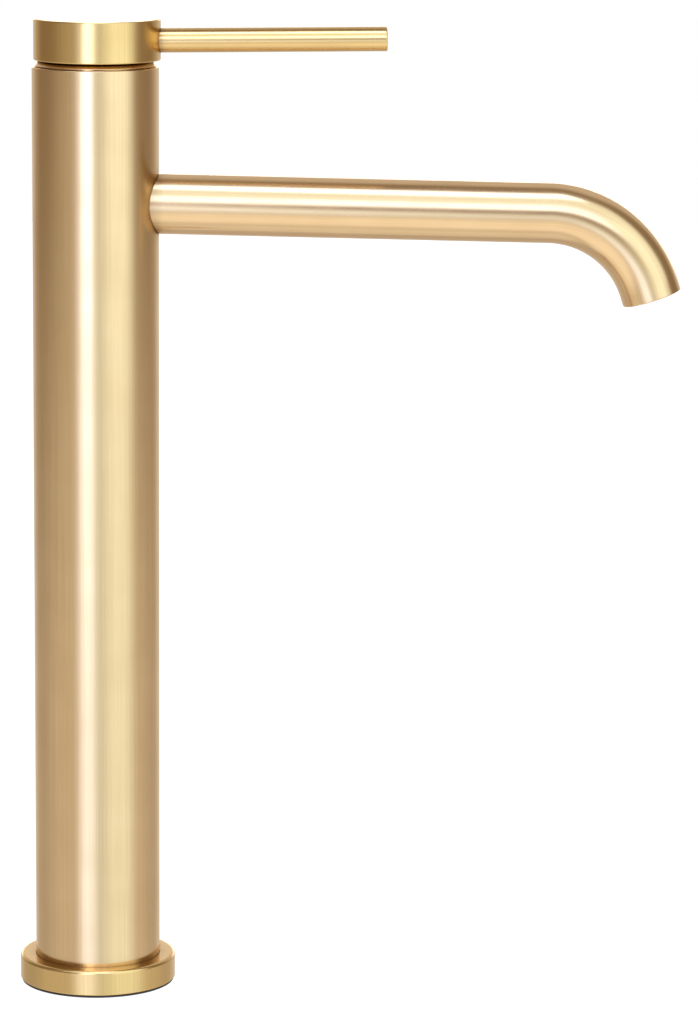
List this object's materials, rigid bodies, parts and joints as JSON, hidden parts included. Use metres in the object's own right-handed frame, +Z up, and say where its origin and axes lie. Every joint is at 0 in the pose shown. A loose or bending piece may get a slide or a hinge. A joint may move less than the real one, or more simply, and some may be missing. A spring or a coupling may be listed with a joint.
{
  "type": "bathroom mixer faucet",
  "caption": "Tall single-lever basin mixer in satin gold: round column on a flange, straight spout bent down at its end, flat round cap with a slim side lever.",
  "frame": {"origin": "on the column's axis, at the flat underside of its foot, where it meets the deck", "axes": "+Z up along the column, +X along the spout and the lever, +Y to the left side seen from behind the spout"},
  "size_m": [0.221, 0.0526, 0.3271],
  "materials": {
    "satin_gold": "brushed gold coating, satin, fine brushing",
    "raw_brass": "machined, uncoated",
    "steel": "turned stainless steel",
    "ceramic_white": "lapped alumina",
    "white_plastic": "moulded, matte",
    "dark_plastic": "moulded, matte",
    "black_rubber": "matte"
  },
  "bodies": {
    "body": {"column_body": "satin_gold", "base_flange": "satin_gold", "base_gasket": "black_rubber", "flange_ring_seal": "black_rubber", "base_plug": "raw_brass", "valve_body": "raw_brass", "spout_tube": "satin_gold", "spout_washer": "black_rubber", "aerator_housing": "dark_plastic", "aerator_insert": "white_plastic", "aerator_screen": "steel", "aerator_washer": "black_rubber", "cartridge_base": "dark_plastic", "port_seal_hot": "black_rubber", "port_seal_cold": "black_rubber", "port_seal_outlet": "black_rubber", "fixed_disc": "ceramic_white", "cartridge_housing": "white_plastic", "retaining_nut": "raw_brass", "dome_nut": "satin_gold"},
    "cartridge_head": {"cartridge_rotor": "white_plastic", "pivot_pin": "steel"},
    "sliding_disc": {"moving_disc": "ceramic_white", "disc_carrier": "dark_plastic"},
    "handle": {"handle_cap": "satin_gold", "lever_rod": "satin_gold", "lever_stem": "steel", "handle_set_screw": "steel"}
  },
  "joints": [
    {"name": "handle_turn", "type": "hinge", "parent": "body", "child": "cartridge_head", "pos_m": [0, 0, 0.2944], "axis": [0, 0, 1], "range_deg": [-45, 45]},
    {"name": "handle_lift", "type": "hinge", "parent": "cartridge_head", "child": "handle", "pos_m": [0, 0, 0.2944], "axis": [0, -1, 0], "range_deg": [0, 20]},
    {"name": "disc_slide", "type": "slide", "parent": "cartridge_head", "child": "sliding_disc", "axis": [1, 0, 0], "range_m": [0, 0.00195]}
  ],
  "couplings": [
    {"joint": "disc_slide", "follows": "handle_lift", "m_per_rad": 0.0054}
  ]
}
